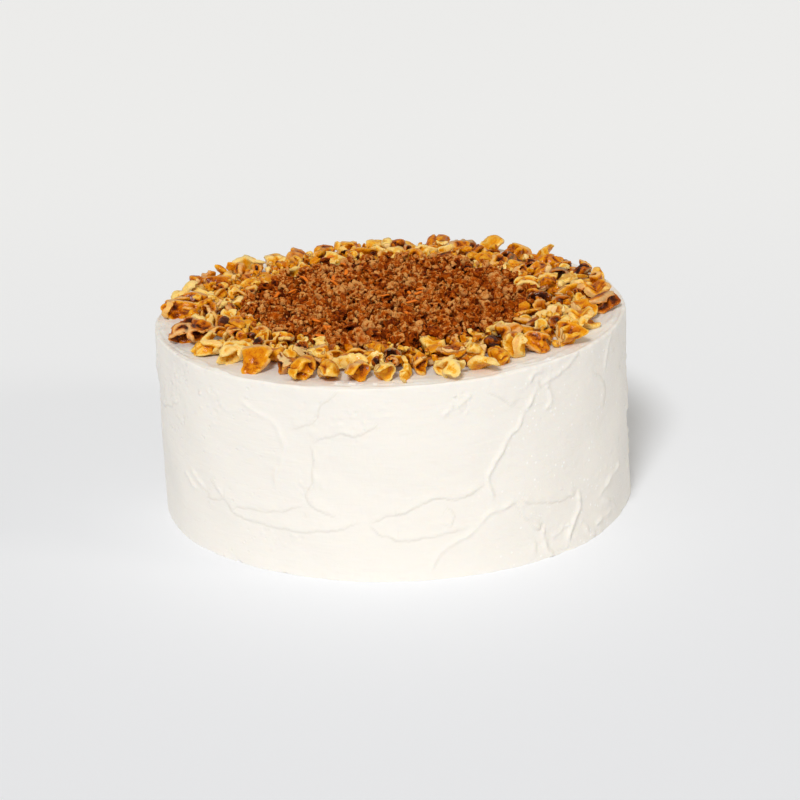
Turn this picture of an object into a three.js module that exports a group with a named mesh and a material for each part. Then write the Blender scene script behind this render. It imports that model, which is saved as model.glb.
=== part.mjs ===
// A round frosted layer cake, with a ring of chopped walnuts round a bed of loose cake crumbs on top.
// Millimetres, +Z up, origin at the centre of the foot, front of the cake towards -Y.
import * as THREE from "three";

// The frosted cake. It was smoothed by hand, so its top slopes a little and leans off the foot's centre.
const FOOT_RADIUS = 101.2;
const RIM_RADIUS = 100.2;
const HEIGHT = 82.8; // at the middle of the top
const TOP_SLOPE = 0.02; // rise of the top per millimetre towards +X
const LEAN = -1.7; // where the top's centre lies along X, seen from the foot's
const FOOT_ROUND = 1; // radius of the foot's edge
const RIM_ROUND = 1.4; // radius of the top's edge
const SIDE_UNEVEN = 0.45; // how far the smoothed side swells and dips
const CAKE_SEGMENTS = 72;
const SIDE_ROWS = 5;

// The toppings, measured from the middle of the cake's top.
const CLEARANCE = 0.3; // between pieces that touch
const HEAP_GAP = 0.8; // between the two heaps, whose edges are made of chords of different lengths
const CRUMB_RADIUS = 61.5;
const CRUMB_HEIGHT = 6.4;
const WALNUT_OUTER = 78.6; // the walnut heap's outer side, where the outermost pieces start
const WALNUT_HEIGHT = 7.2;
const CRUMB_LUMP = 24; // how far apart the crumb heap's lumps are
const WALNUT_LUMP = 16; // and the walnut heap's
const LUMP_HEIGHT = 0.24; // how far a lump stands out, as a share of its heap's height
const CRUMB_SEGMENTS = 40;
const WALNUT_SEGMENTS = 72;

// The outermost walnut pieces, each large enough to stand alone. They follow each other round the
// front from this angle on, in degrees from +X, and each has its width along the heap's side, its
// reach outwards from there, and its height.
const FRONT_FROM = -186;
const FRONT_PIECES = [
  [10.3, 20, 7.5],
  [7.5, 8, 6.5],
  [9.6, 6.5, 7],
  [17.2, 20, 8.6],
  [16.5, 16, 8.4],
  [12.4, 16.5, 8],
  [13.7, 17.5, 7.6],
  [9.2, 12, 7.4],
  [9.3, 17, 8.5],
  [9.7, 12.5, 8],
  [10.2, 14.5, 7.8],
  [8.8, 14.5, 8],
  [5.8, 17.5, 7.5],
  [6.4, 10, 7.2],
  [12, 17, 8],
  [10.8, 12, 6.8],
  [7.4, 13.5, 6.5],
  [10, 10.5, 9.6],
  [11.2, 13, 8],
  [12, 15, 9.2],
  [8.6, 10.5, 7.5],
  [10, 16.5, 8],
  [9.4, 12, 7.5],
  [12, 20, 7.6],
  [10.8, 19, 8.6],
];

// On round the back they fill what is left of the circle.
const BACK_PIECES = 20;
const BACK_REACH = 14; // usual reach
const BACK_HEIGHT = 6.2;
const BACK_SPREAD = 0.45; // how much these vary from one piece to the next, as a share

// A walnut piece's form: a thick flake with lobes, folds and a curl.
const PIECE_DETAIL = 3; // how often the starting octahedron's edges are divided
const LOBE_DEPTH = 0.3; // as a share of the piece's radius
const LOBE_PITCH = 3.1; // lobes per radius, in radians
const FLAKE_THICKNESS = 0.62; // as a share of its width
const CURL = 0.45; // rise of its ends over its middle
const MOST_TILT = 0.35; // how far a piece may lean, in radians

const random = (seed, draw) => {
  const value = Math.sin(seed * 127.1 + draw * 311.7) * 43758.5453;
  return value - Math.floor(value);
};

const topHeight = (x) => HEIGHT + TOP_SLOPE * x;

// A slow wave round the side that also changes with height, between -1 and 1.
const sideWave = (angle, z) =>
  0.5 * Math.sin(3 * angle + 1.3 + z / 60) +
  0.3 * Math.sin(5 * angle - 0.7 - z / 35) +
  0.2 * Math.sin(9 * angle + z / 18);

// Bumps of a heap's surface, between -1 and 1, about `pitch` apart.
const bumps = (x, y, pitch) => {
  const k = (2 * Math.PI) / pitch;
  return (
    0.4 * Math.sin(k * x + 1.7 * Math.sin(0.6 * k * y)) +
    0.35 * Math.sin(k * y + 1.4 * Math.sin(0.7 * k * x + 2)) +
    0.25 * Math.sin(0.8 * k * (x + y) + 4)
  );
};

// The outline turned round the vertical axis, each vertex then moved to where `place` puts it.
function turned(outline, segments, place) {
  const profile = outline.map(([radius, height]) => new THREE.Vector2(radius, height));
  const geometry = new THREE.LatheGeometry(profile, segments);
  const vertices = geometry.getAttribute("position");
  for (let i = 0; i < vertices.count; i++) {
    const radius = Math.hypot(vertices.getX(i), vertices.getZ(i));
    const angle = Math.atan2(vertices.getX(i), vertices.getZ(i));
    const point = place(radius, angle, vertices.getY(i));
    vertices.setXYZ(i, point.x, point.y, point.z);
  }
  geometry.computeVertexNormals();
  return geometry;
}

function material(colour, roughness) {
  return new THREE.MeshStandardMaterial({ color: colour, roughness, metalness: 0 });
}

const frosting = material(0xf3ebe1, 0.5);
const walnut = material(0xc98f3f, 0.35);
const crumb = material(0x8f4d1c, 0.8);

// Cake and frosting as one solid, since nothing has been cut.
function frostedCake() {
  const shoulder = HEIGHT - RIM_ROUND;
  const outline = [
    [0, 0],
    [FOOT_RADIUS - FOOT_ROUND, 0],
  ];
  for (let row = 0; row <= SIDE_ROWS; row++) {
    const height = FOOT_ROUND + ((shoulder - FOOT_ROUND) * row) / SIDE_ROWS;
    const radius = THREE.MathUtils.lerp(FOOT_RADIUS, RIM_RADIUS, height / HEIGHT);
    outline.push([radius, height]);
  }
  const halfRound = RIM_ROUND * Math.SQRT1_2;
  outline.push([RIM_RADIUS - RIM_ROUND + halfRound, shoulder + halfRound]);
  outline.push([RIM_RADIUS - RIM_ROUND, HEIGHT]);
  outline.push([RIM_RADIUS / 2, HEIGHT]);
  outline.push([0, HEIGHT]);

  const geometry = turned(outline, CAKE_SEGMENTS, (radius, angle, height) => {
    const up = height / HEIGHT;
    const outwards = (radius / FOOT_RADIUS) ** 4; // the wave fades out towards the middle
    const reach = radius + SIDE_UNEVEN * sideWave(angle, height) * outwards;
    const x = reach * Math.cos(angle) + LEAN * up;
    return new THREE.Vector3(x, reach * Math.sin(angle), height + TOP_SLOPE * x * up);
  });
  const mesh = new THREE.Mesh(geometry, frosting);
  mesh.name = "frosted_cake";
  return mesh;
}

// A point over the cake's top: polar about the top's middle, and a height above the frosting.
function overTop(radius, angle, rise) {
  const x = LEAN + radius * Math.cos(angle);
  return new THREE.Vector3(x, radius * Math.sin(angle), topHeight(x) + CLEARANCE + rise);
}

// The ragged line where the crumbs end and the walnuts start.
const crumbEdge = (angle) =>
  CRUMB_RADIUS + 0.7 * Math.sin(7 * angle) + 0.5 * Math.sin(13 * angle + 1);

// The bed of crumbs: a low disc with a lumpy top.
function crumbHeap() {
  const outline = [
    [0, 0],
    [1, 0],
    [1, 0.85],
    [0.96, 1],
    [0.8, 1],
    [0.6, 1],
    [0.4, 1],
    [0.2, 1],
    [0, 1],
  ];
  const geometry = turned(outline, CRUMB_SEGMENTS, (share, angle, level) => {
    const radius = share * crumbEdge(angle);
    const lump = bumps(radius * Math.cos(angle), radius * Math.sin(angle), CRUMB_LUMP);
    return overTop(radius, angle, level * CRUMB_HEIGHT * (1 + LUMP_HEIGHT * lump));
  });
  const mesh = new THREE.Mesh(geometry, crumb);
  mesh.name = "crumb_heap";
  return mesh;
}

// The inner part of the walnut ring: chopped pieces too many and too small to stand alone.
function walnutHeap() {
  const outline = [
    [0, 0],
    [1, 0],
    [1, 0.65],
    [0.88, 1],
    [0.62, 1],
    [0.36, 1],
    [0.1, 1],
    [0, 0.85],
    [0, 0],
  ];
  const shifted = outline.map(([across, level]) => [1 + across, level]); // clear of the axis
  const geometry = turned(shifted, WALNUT_SEGMENTS, (radius, angle, level) => {
    const across = radius - 1;
    const inner = crumbEdge(angle) + HEAP_GAP;
    const outer = WALNUT_OUTER - 0.8 * (1 + Math.sin(11 * angle + 2));
    const reach = THREE.MathUtils.lerp(inner, outer, across);
    const lump = bumps(reach * Math.cos(angle), reach * Math.sin(angle), WALNUT_LUMP);
    return overTop(reach, angle, level * WALNUT_HEIGHT * (1 + LUMP_HEIGHT * lump));
  });
  const mesh = new THREE.Mesh(geometry, walnut);
  mesh.name = "walnut_heap";
  return mesh;
}

// One broken lobe of a kernel, brought to a box of 1 by 1 that stands 1 high on its bottom.
function walnutForm(seed) {
  const geometry = new THREE.OctahedronGeometry(1, PIECE_DETAIL);
  const vertices = geometry.getAttribute("position");
  const phase = [1, 2, 3].map((draw) => 2 * Math.PI * random(seed, draw));
  const curl = CURL * (random(seed, 4) < 0.5 ? -1 : 1);
  const point = new THREE.Vector3();
  for (let i = 0; i < vertices.count; i++) {
    point.fromBufferAttribute(vertices, i).normalize();
    const lobes =
      Math.cos(LOBE_PITCH * point.x + phase[0]) *
      Math.cos(LOBE_PITCH * point.y + phase[1]) *
      Math.cos(LOBE_PITCH * point.z + phase[2]);
    point.multiplyScalar(1 + LOBE_DEPTH * lobes);
    point.z = FLAKE_THICKNESS * point.z + curl * point.x * point.x;
    vertices.setXYZ(i, point.x, point.y, point.z);
  }
  geometry.rotateX(MOST_TILT * (2 * random(seed, 5) - 1));
  geometry.rotateZ(Math.PI * random(seed, 6));
  geometry.computeBoundingBox();
  const { min, max } = geometry.boundingBox;
  geometry.translate(-(min.x + max.x) / 2, -(min.y + max.y) / 2, -min.z);
  geometry.scale(1 / (max.x - min.x), 1 / (max.y - min.y), 1 / (max.z - min.z));
  geometry.deleteAttribute("uv");
  geometry.computeVertexNormals();
  return geometry;
}

// A piece of that form in its place: its slot's width along the heap's side, reach, and height.
function walnutPiece(number, angle, width, reach, height) {
  const geometry = walnutForm(number).scale(reach, width - CLEARANCE, height);
  const mesh = new THREE.Mesh(geometry, walnut);
  mesh.name = "walnut_" + String(number).padStart(2, "0");
  mesh.rotation.z = angle;
  mesh.position.copy(overTop(WALNUT_OUTER + CLEARANCE + reach / 2, angle, 0));
  return mesh;
}

const cake = new THREE.Group();
cake.add(frostedCake(), crumbHeap(), walnutHeap());

let number = 0;
let angle = THREE.MathUtils.degToRad(FRONT_FROM);
const backTo = angle + 2 * Math.PI;
for (const [width, reach, height] of FRONT_PIECES) {
  const turn = 2 * Math.atan(width / 2 / WALNUT_OUTER);
  cake.add(walnutPiece(++number, angle + turn / 2, width, reach, height));
  angle += turn;
}

const backTurn = (backTo - angle) / BACK_PIECES;
const backWidth = 2 * Math.tan(backTurn / 2) * WALNUT_OUTER;
for (let i = 0; i < BACK_PIECES; i++) {
  const vary = (draw) => 1 + BACK_SPREAD * (random(number, draw) - 0.5);
  const middle = angle + (i + 0.5) * backTurn;
  cake.add(walnutPiece(++number, middle, backWidth, BACK_REACH * vary(7), BACK_HEIGHT * vary(8)));
}

export default cake;
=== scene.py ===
import math

import bpy
import numpy as np
from mathutils import Matrix, Vector


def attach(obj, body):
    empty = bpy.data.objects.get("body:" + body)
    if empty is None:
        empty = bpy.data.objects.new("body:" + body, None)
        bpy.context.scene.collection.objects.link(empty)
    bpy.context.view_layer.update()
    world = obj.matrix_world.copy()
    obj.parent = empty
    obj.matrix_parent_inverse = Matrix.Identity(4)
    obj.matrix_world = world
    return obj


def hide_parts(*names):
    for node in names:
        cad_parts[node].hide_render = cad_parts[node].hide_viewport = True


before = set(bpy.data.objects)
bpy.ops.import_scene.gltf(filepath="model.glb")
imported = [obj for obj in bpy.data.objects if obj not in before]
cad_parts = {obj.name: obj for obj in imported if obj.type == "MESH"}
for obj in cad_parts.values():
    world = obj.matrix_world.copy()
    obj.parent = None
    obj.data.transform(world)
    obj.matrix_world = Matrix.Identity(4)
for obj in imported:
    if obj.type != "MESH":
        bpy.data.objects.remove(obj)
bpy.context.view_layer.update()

MM = 0.001
scene = bpy.context.scene


# ---------------------------------------------------------------- the view
# A long lens looks down on the cake from a little above its rim. The camera is
# tipped sideways by a degree and a half, so the right of the cake stands higher.

AIM = Vector((1.8, 0, 41.8)) * MM
DISTANCE = 1153.8 * MM
LOOK_DOWN = math.radians(19.62)
ROLL = math.radians(1.494)
SENSOR_WIDTH = 36
FOCAL_LENGTH = 119.56

forward = Vector((0, math.cos(LOOK_DOWN), -math.sin(LOOK_DOWN)))
level_up = Vector((0, math.sin(LOOK_DOWN), math.cos(LOOK_DOWN)))
level_right = Vector((1, 0, 0))
right = level_right * math.cos(ROLL) - level_up * math.sin(ROLL)
up = level_up * math.cos(ROLL) + level_right * math.sin(ROLL)

camera_data = bpy.data.cameras.new("camera")
camera_data.sensor_width = SENSOR_WIDTH
camera_data.lens = FOCAL_LENGTH
camera = bpy.data.objects.new("camera", camera_data)
turn = Matrix((right, up, -forward)).transposed().to_4x4()
camera.matrix_world = Matrix.Translation(AIM - forward * DISTANCE) @ turn
scene.collection.objects.link(camera)
scene.camera = camera
scene.view_settings.view_transform = "Standard"


# ---------------------------------------------------------------- the light
# Soft daylight of a pale room: a broad window in front and to the left, a weaker
# one to the right, and an even glow from everywhere else.

ROOM_COLOUR = (1.0, 0.96, 0.89, 1)
ROOM_STRENGTH = 0.44


def window(name, bearing, elevation, spread, strength, colour):
    """A distant light `spread` degrees wide, `bearing` degrees right of the view."""
    turn, rise = math.radians(bearing), math.radians(elevation)
    towards = Vector((math.sin(turn) * math.cos(rise), -math.cos(turn) * math.cos(rise), math.sin(rise)))
    lamp = bpy.data.lights.new(name, "SUN")
    lamp.energy = strength
    lamp.angle = math.radians(spread)
    lamp.color = colour
    holder = bpy.data.objects.new(name, lamp)
    holder.rotation_euler = towards.to_track_quat("Z", "Y").to_euler()
    scene.collection.objects.link(holder)


window("window", -14, 42, 13, 2.02, (1.0, 1.0, 1.0))
window("side_window", 70, 24, 14, 0.32, (1.0, 0.94, 0.84))

world = bpy.data.worlds.new("room")
world.use_nodes = True
glow = world.node_tree.nodes["Background"]
glow.inputs["Color"].default_value = ROOM_COLOUR
glow.inputs["Strength"].default_value = ROOM_STRENGTH
scene.world = world


# ---------------------------------------------------------------- the floor
# A plain pale surface that runs on past the edges of the view, a little paler
# further off with painted light. It isn't part of the cake.

FLOOR_REACH = 6  # metres
FLOOR_COLOUR = (0.865, 0.89, 0.94)
# Painted light: the far floor is paler in colour, as if it were more brightly lit.
FAR_LIGHT_COLOUR = (0.955, 0.975, 1.0)
FLOOR_LIGHT_FADE = (-350, 700)  # the far colour comes in between these distances behind the cake, in mm


class Socket:
    """A node's output. Arithmetic on it adds Math nodes to its material."""

    def __init__(self, finish, link):
        self.finish = finish
        self.link = link

    def maths(self, operation, first, second):
        return self.finish.maths(operation, first, second)

    def __add__(self, other):
        return self.maths("ADD", self, other)

    def __sub__(self, other):
        return self.maths("SUBTRACT", self, other)

    def __rsub__(self, other):
        return self.maths("SUBTRACT", other, self)

    def __mul__(self, other):
        return self.maths("MULTIPLY", self, other)

    __radd__ = __add__
    __rmul__ = __mul__

    def clamped(self):
        return self.maths("MINIMUM", self.maths("MAXIMUM", self, 0.0), 1.0)

    def over(self, low, high):
        """0 below `low`, 1 above `high`, and smooth between them."""
        settings = {"interpolation_type": "SMOOTHSTEP"}
        return self.finish.node("MapRange", settings, {"Value": self, 1: low, 2: high})


class Finish:
    """A material round one Principled shader."""

    def __init__(self, name, **constants):
        self.material = bpy.data.materials.new(name)
        self.material.use_nodes = True
        self.tree = self.material.node_tree
        self.shader = self.tree.nodes["Principled BSDF"]
        for key, value in constants.items():
            self.shader.inputs[key.replace("_", " ")].default_value = value

    def node(self, kind, settings=None, values=None, output=0):
        """Adds a node: its settings first, then the values or links of its sockets."""
        node = self.tree.nodes.new("ShaderNode" + kind)
        for key, value in (settings or {}).items():
            if key == "stops":
                for _ in value[2:]:
                    node.color_ramp.elements.new(0.5)
                for stop, (place, colour) in zip(node.color_ramp.elements, value):
                    stop.position = place
                    stop.color = (*colour, 1)
            else:
                setattr(node, key, value)
        for key, value in (values or {}).items():
            self.feed(node.inputs[key], value)
        return Socket(self, node.outputs[output])

    def maths(self, operation, first, second):
        return self.node("Math", {"operation": operation}, {0: first, 1: second})

    def feed(self, socket, value):
        if isinstance(value, Socket):
            self.tree.links.new(value.link, socket)
        else:
            socket.default_value = value

    def set(self, **sockets):
        for key, value in sockets.items():
            self.feed(self.shader.inputs[key.replace("_", " ")], value)

    def place(self, x=1.0, y=1.0, z=1.0):
        """Where a point is on the cake, in millimetres, stretched along each axis."""
        here = self.node("TexCoord", output="Object")
        factors = (x / MM, y / MM, z / MM)
        return self.node("VectorMath", {"operation": "MULTIPLY"}, {0: here, 1: factors})

    def noise(self, pitch, detail=2.0, rough=0.5, where=None, bend=0.0):
        """Cloudy values from 0 to 1 with lumps about `pitch` millimetres apart."""
        values = {
            "Vector": where or self.place(),
            "Scale": 1 / pitch,
            "Detail": detail,
            "Roughness": rough,
            "Distortion": bend,
        }
        return self.node("TexNoise", {}, values)

    def mix(self, share, first, second):
        """A colour `share` of the way from the first to the second."""
        colours = [c if isinstance(c, Socket) else (*c, 1) for c in (first, second)]
        values = {0: share, 6: colours[0], 7: colours[1]}
        return self.node("Mix", {"data_type": "RGBA"}, values, output=2)

    def bump(self, height, depth):
        """A Normal for relief `depth` millimetres deep."""
        return self.node("Bump", {}, {"Height": height, "Distance": depth * MM, "Strength": 1.0})

    def tint(self, attribute):
        """A number that the mesh carries at each of its points."""
        return self.node("Attribute", {"attribute_name": attribute}, output="Fac")


NO_CREASE = 180  # degrees


def mesh_object(name, points, faces, finish, crease=NO_CREASE, **numbers):
    """An object from points in millimetres, rows of equal-sided faces, and point numbers.
    Edges sharper than `crease` degrees stay sharp."""
    mesh = bpy.data.meshes.new(name)
    groups = faces if isinstance(faces, list) else [faces]
    corners = np.concatenate([np.asarray(group).ravel() for group in groups])
    sides = np.concatenate([np.full(len(group), len(group[0])) for group in groups])
    mesh.vertices.add(len(points))
    mesh.vertices.foreach_set("co", (np.asarray(points) * MM).astype(np.float32).ravel())
    mesh.loops.add(len(corners))
    mesh.loops.foreach_set("vertex_index", corners.astype(np.int32))
    mesh.polygons.add(len(sides))
    starts = np.cumsum(sides) - sides
    mesh.polygons.foreach_set("loop_start", starts.astype(np.int32))
    mesh.polygons.foreach_set("loop_total", sides.astype(np.int32))
    mesh.update(calc_edges=True)
    for key, values in numbers.items():
        layer = mesh.attributes.new(key, "FLOAT", "POINT")
        layer.data.foreach_set("value", np.asarray(values, np.float32))
    mesh.shade_smooth()
    if crease < NO_CREASE:
        mesh.set_sharp_from_angle(angle=math.radians(crease))
    mesh.materials.append(finish.material)
    thing = bpy.data.objects.new(name, mesh)
    scene.collection.objects.link(thing)
    return thing


floor_finish = Finish("pale_floor", Roughness=0.7)
distance = floor_finish.node("SeparateXYZ", {}, {0: floor_finish.place()}, output=1)
# The floor's paleness further off is painted light.
floor_finish.set(Base_Color=floor_finish.mix(distance.over(*FLOOR_LIGHT_FADE), FLOOR_COLOUR, FAR_LIGHT_COLOUR))
reach = FLOOR_REACH / MM
corners = [(-reach, -reach, 0), (reach, -reach, 0), (reach, reach, 0), (-reach, reach, 0)]
floor = mesh_object("floor", corners, np.array([[0, 1, 2, 3]]), floor_finish)


# ---------------------------------------------------------------- the frosting
# Buttercream over the whole cake, smoothed round the side with a scraper and
# drawn in over the top. Where one stroke of the spatula overlaps another it has
# left a lip, and a few bubbles show, lightened in colour as painted glints. The
# cake isn't cut, so this is all of it.

FROSTING_COLOUR = (0.85, 0.82, 0.77)
WARM_COLOUR = (0.865, 0.825, 0.755)  # in cloudy patches
# The lighter colour of the bubbles is a painted glint.
BUBBLE_GLINT_COLOUR = (1.0, 0.985, 0.96)
# The colour of the painted shade in the creases under the laps.
CREASE_SHADE_COLOUR = (0.62, 0.57, 0.48)
CREASE_DEPTH = 0.12  # a point this far below its neighbours is deep in a crease
BUBBLE_PITCH = 3.2
SIDE_ROWS = 122
ROUND_STEPS = 5  # rows over the edge of the top
TOP_ROWS = 30
TOP_INNER = 60  # the flat middle inside this radius is under the crumbs
TOP_CROWDING = 1.7  # how much closer the top's rows stand towards the rim
AROUND = 630
FRONT_SHARE = 0.45  # how much closer together the points stand at the front
EDGE_ROUND = 0.8
FROSTING_CREASE = 75  # only the edge of the foot is sharper
FOOT_RING = (0.5, 2)  # the solid's side starts between these heights
RIM_BAND = 5.3  # the solid's rounded rim is within this depth of its top
RIM_ROUNDING = 1
RIM_MARGIN = 0.3  # left for the unevenness of the rim
PLAIN_RADIUS = 100  # of the even cylinder on which the unevenness is worked out
MEAN_RADIUS = 100.7  # of the side, where a lip's degrees are measured


def cad_points(node):
    """A CAD node's points in millimetres."""
    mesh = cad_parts[node].data
    points = np.zeros(3 * len(mesh.vertices), np.float32)
    mesh.vertices.foreach_get("co", points)
    return points.reshape(-1, 3).astype(float) / MM


cake = cad_points("frosted_cake")
shoulder = cake[:, 2].max() - RIM_BAND
low_ring = cake[(cake[:, 2] > FOOT_RING[0]) & (cake[:, 2] < FOOT_RING[1])]
foot_radius = np.hypot(*low_ring[:, :2].T).mean()
high_ring = cake[cake[:, 2] > shoulder]
LEAN = (high_ring[:, 0].max() + high_ring[:, 0].min()) / 2
high_reach = np.hypot(high_ring[:, 0] - LEAN, high_ring[:, 1])
rim_radius = high_reach.max() - RIM_MARGIN
flat = high_ring[high_reach < rim_radius - RIM_ROUNDING]
slope, height = np.polyfit(flat[:, 0], flat[:, 2], 1)


def top_at(x):
    """Height of the cake's top, which rises to one side."""
    return height + slope * x


def waves(points, pitch, seed, count=14):
    """An uneven field about -1 to 1 over space, its swells about `pitch` apart."""
    rng = np.random.default_rng(seed)
    total = np.zeros(points.shape[:-1])
    for _ in range(count):
        heading = rng.normal(size=points.shape[-1])
        heading *= 2 * np.pi / pitch * rng.uniform(0.6, 1.5) / np.linalg.norm(heading)
        total += np.sin(points @ heading + rng.uniform(0, 2 * np.pi))
    return total / math.sqrt(count / 2) * 0.7


def curve_through(knots, spacing):
    """Points every `spacing` along a smooth curve through the knots."""
    knots = np.asarray(knots, float)
    ends = np.vstack([2 * knots[0] - knots[1], knots, 2 * knots[-1] - knots[-2]])
    runs = []
    for a, b, c, d in zip(ends, ends[1:], ends[2:], ends[3:]):
        steps = max(2, int(np.linalg.norm(c - b) / spacing))
        t = np.linspace(0, 1, steps, endpoint=False)[:, None]
        cubic = 2 * b + (c - a) * t + (2 * a - 5 * b + 4 * c - d) * t**2
        runs.append(0.5 * (cubic + (3 * b - a - 3 * c + d) * t**3))
    return np.vstack(runs)


def smooth_step(value, low, high):
    share = np.clip((value - low) / (high - low), 0, 1)
    return share * share * (3 - 2 * share)


LINE_STEP = 0.7
WANDER = 0.35  # of a lip to each side of its curve
UNEVENNESS = 0.35  # of its height, as a share
END_TAPER = 0.12  # the share of a lip over which each of its ends dies away
BATCH = 4000  # points compared with a curve at once, which keeps the arrays small


def add_lip(relief, where, knots, crest, step, flank, edge, fade):
    """Raises a lip along a curve: its left flank is `flank` broad and its right one `edge`,
    and the frosting on its left lies `step` higher, which fades out within `fade`."""
    line = curve_through(knots, LINE_STEP)
    heading = np.gradient(line, axis=0)
    across = heading[:, ::-1] * (-1, 1) / np.linalg.norm(heading, axis=1)[:, None]
    line = line + WANDER * waves(line, 9, 50 + len(line))[:, None] * across
    low, high = line.min(0) - fade, line.max(0) + fade
    near = np.nonzero(((where > low) & (where < high)).all(-1))
    spots = where[near]
    closest = np.empty(len(spots), int)
    for start in range(0, len(spots), BATCH):
        part = spots[start:start + BATCH]
        gaps = ((part[:, None] - line[None]) ** 2).sum(-1)
        closest[start:start + BATCH] = gaps.argmin(1)
    away = spots - line[closest]
    side = np.sign(heading[closest, 0] * away[:, 1] - heading[closest, 1] * away[:, 0])
    gap = side * np.linalg.norm(away, axis=1)
    along = closest / (len(line) - 1)
    ends = smooth_step(along, 0, END_TAPER) * smooth_step(1 - along, 0, END_TAPER)
    uneven = 1 + UNEVENNESS * waves(spots, 8, len(line))
    rise = np.where(gap > 0, np.exp(-(gap / flank) ** 2), np.exp(-(gap / edge) ** 2))
    lift = step * smooth_step(gap, -edge, edge) * (1 - smooth_step(np.abs(gap), 0, fade))
    relief[near] += ends * uneven * (crest * rise + lift)


share = np.linspace(0, 2 * np.pi, AROUND, endpoint=False)
angles = share - FRONT_SHARE * np.sin(share) - np.pi / 2

side_drop = np.linspace(height, EDGE_ROUND, SIDE_ROWS)
bend = np.linspace(0, np.pi / 2, ROUND_STEPS + 1)[1:]
top_inset = np.linspace(0, 1, TOP_ROWS + 1)[1:] ** TOP_CROWDING
top_inset = top_inset * (rim_radius - TOP_INNER - EDGE_ROUND) + EDGE_ROUND
drop = np.concatenate([side_drop, EDGE_ROUND * (1 - np.sin(bend)), 0 * top_inset])
inset = np.concatenate([0 * side_drop, EDGE_ROUND * (1 - np.cos(bend)), top_inset])
upright = np.concatenate([np.ones(SIDE_ROWS), np.cos(bend), np.zeros(TOP_ROWS)])

level = 1 - drop / height
radius = foot_radius + (rim_radius - foot_radius) * level - inset
grid_angle, grid_level = np.meshgrid(angles, level)
grid_radius = np.broadcast_to(radius[:, None], grid_angle.shape)
ways_out = np.stack([np.cos(grid_angle), np.sin(grid_angle)], -1)
spots = np.concatenate([ways_out * PLAIN_RADIUS, grid_level[..., None] * height], -1)

# Strokes of the spatula that show at the front: how high each stands out, and its
# points by their angle round the cake and their height. A ridge is a roll of frosting
# left beside the spatula.
RIDGES = [
    (0.68, [(-67, 29), (-68, 36), (-68, 42), (-64, 52), (-60, 61), (-56, 70), (-54, 76)]),
    (0.46, [(-54, 74), (-49, 76), (-44, 79), (-40, 84)]),
    (0.57, [(-52, 75), (-51, 70), (-51, 66), (-53, 63)]),
    (0.41, [(-57, 76), (-55, 80), (-52, 79)]),
    (0.59, [(-83, 2), (-82, 7), (-80, 12), (-76, 16), (-71, 21), (-68, 26), (-60, 28)]),
    (0.84, [(-46, 3), (-46, 8), (-44, 13), (-42, 17), (-42, 25)]),
    (0.74, [(-51, 0), (-53, 5), (-54, 10), (-54, 15)]),
    (0.54, [(-52, 8), (-49, 10), (-45, 11)]),
    (0.54, [(-36, 1), (-39, 5), (-42, 12)]),
    (0.68, [(-33, 15), (-32, 18), (-29, 21), (-21, 25)]),
    (0.54, [(-22, 4), (-25, 8), (-30, 13), (-33, 16)]),
    (0.49, [(-36, 5), (-32, 6), (-26, 6)]),
    (0.46, [(-29, 68), (-27, 76), (-23, 84)]),
    (0.46, [(-120, 35), (-118, 45), (-116, 56), (-118, 65), (-122, 69), (-129, 74)]),
    (0.46, [(-79, 68), (-75, 73), (-71, 77)]),
    (0.54, [(-144, 25), (-147, 28), (-151, 32)]),
    (0.46, [(-141, 27), (-144, 30), (-148, 34)]),
    (0.49, [(-168, 35), (-169, 48), (-169, 56)]),
    (0.54, [(-172, 58), (-170, 70), (-165, 82)]),
    (0.54, [(-9, 38), (-6, 48), (-6, 60)]),
    (0.61, [(-12, 12), (-8, 20), (2, 26)]),
]
# A lap is only the thin edge of a layer over the one before.
LAPS = [
    (0.36, [(-141, 35), (-136, 29), (-133, 24), (-129, 21), (-117, 20), (-108, 21), (-97, 26)]),
    (0.36, [(-140, 24), (-137, 26), (-134, 27)]),
    (0.33, [(-133, 23), (-128, 26), (-120, 27), (-111, 32)]),
    (0.39, [(-103, 27), (-109, 31), (-111, 36), (-109, 45), (-109, 59)][::-1]),
    (0.30, [(-109, 59), (-104, 63), (-97, 64), (-93, 69)]),
    (0.30, [(-114, 64), (-108, 69), (-106, 76), (-102, 82)]),
    (0.36, [(-97, 26), (-93, 28), (-88, 30), (-81, 35), (-75, 34), (-68, 39)]),
    (0.30, [(-97, 26), (-95, 22), (-90, 18), (-82, 19), (-73, 22)]),
    (0.21, [(-78, 22), (-77, 27), (-79, 31)]),
    (0.36, [(-61, 29), (-57, 26), (-53, 24), (-48, 23), (-42, 24)]),
    (0.33, [(-62, 27), (-60, 22), (-56, 14), (-54, 15)]),
    (0.27, [(-68, 77), (-65, 74), (-61, 68)]),
    (0.24, [(-56, 2), (-57, 12)]),
    (0.27, [(-31, 52), (-29, 59), (-31, 66), (-37, 73)]),
    (0.39, [(-170, 52), (-163, 54), (-158, 57), (-152, 62)]),
]
# Where the spatula dragged: how many short scuffs, the middle of their patch, its
# half size in degrees and millimetres, and the way they run in radians from level.
SCUFFS = [
    (80, (-155, 68), (11, 13), -1.2),
    (30, (-138, 72), (10, 9), -0.9),
    (34, (-99, 71), (9, 8), 0.15),
    (16, (-75, 73), (4, 5), 0.9),
    (12, (-112, 36), (4, 8), -0.9),
    (10, (-118, 14), (8, 6), 0.4),
    (22, (-14, 68), (12, 10), 1.4),
    (14, (-30, 30), (16, 14), 1.2),
    (22, (-53, 76), (5, 6), 0.8),
    (14, (-50, 8), (8, 6), 0.8),
    (110, (90, 42), (92, 34), 0.9),
]

# The scraper left slow swells all round, and fine ones that run level.
relief = 0.32 * waves(spots, 46, 1) + 0.1 * waves(spots, 17, 2)
relief += 0.035 * waves(spots * (1, 1, 2.5), 9, 3)

per_degree = np.pi * MEAN_RADIUS / 180
side_spots = np.stack([np.degrees(grid_angle) * per_degree, grid_level * height], -1)
once_round = np.array([360 * per_degree, 0])
side_relief = np.zeros_like(relief)


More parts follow.
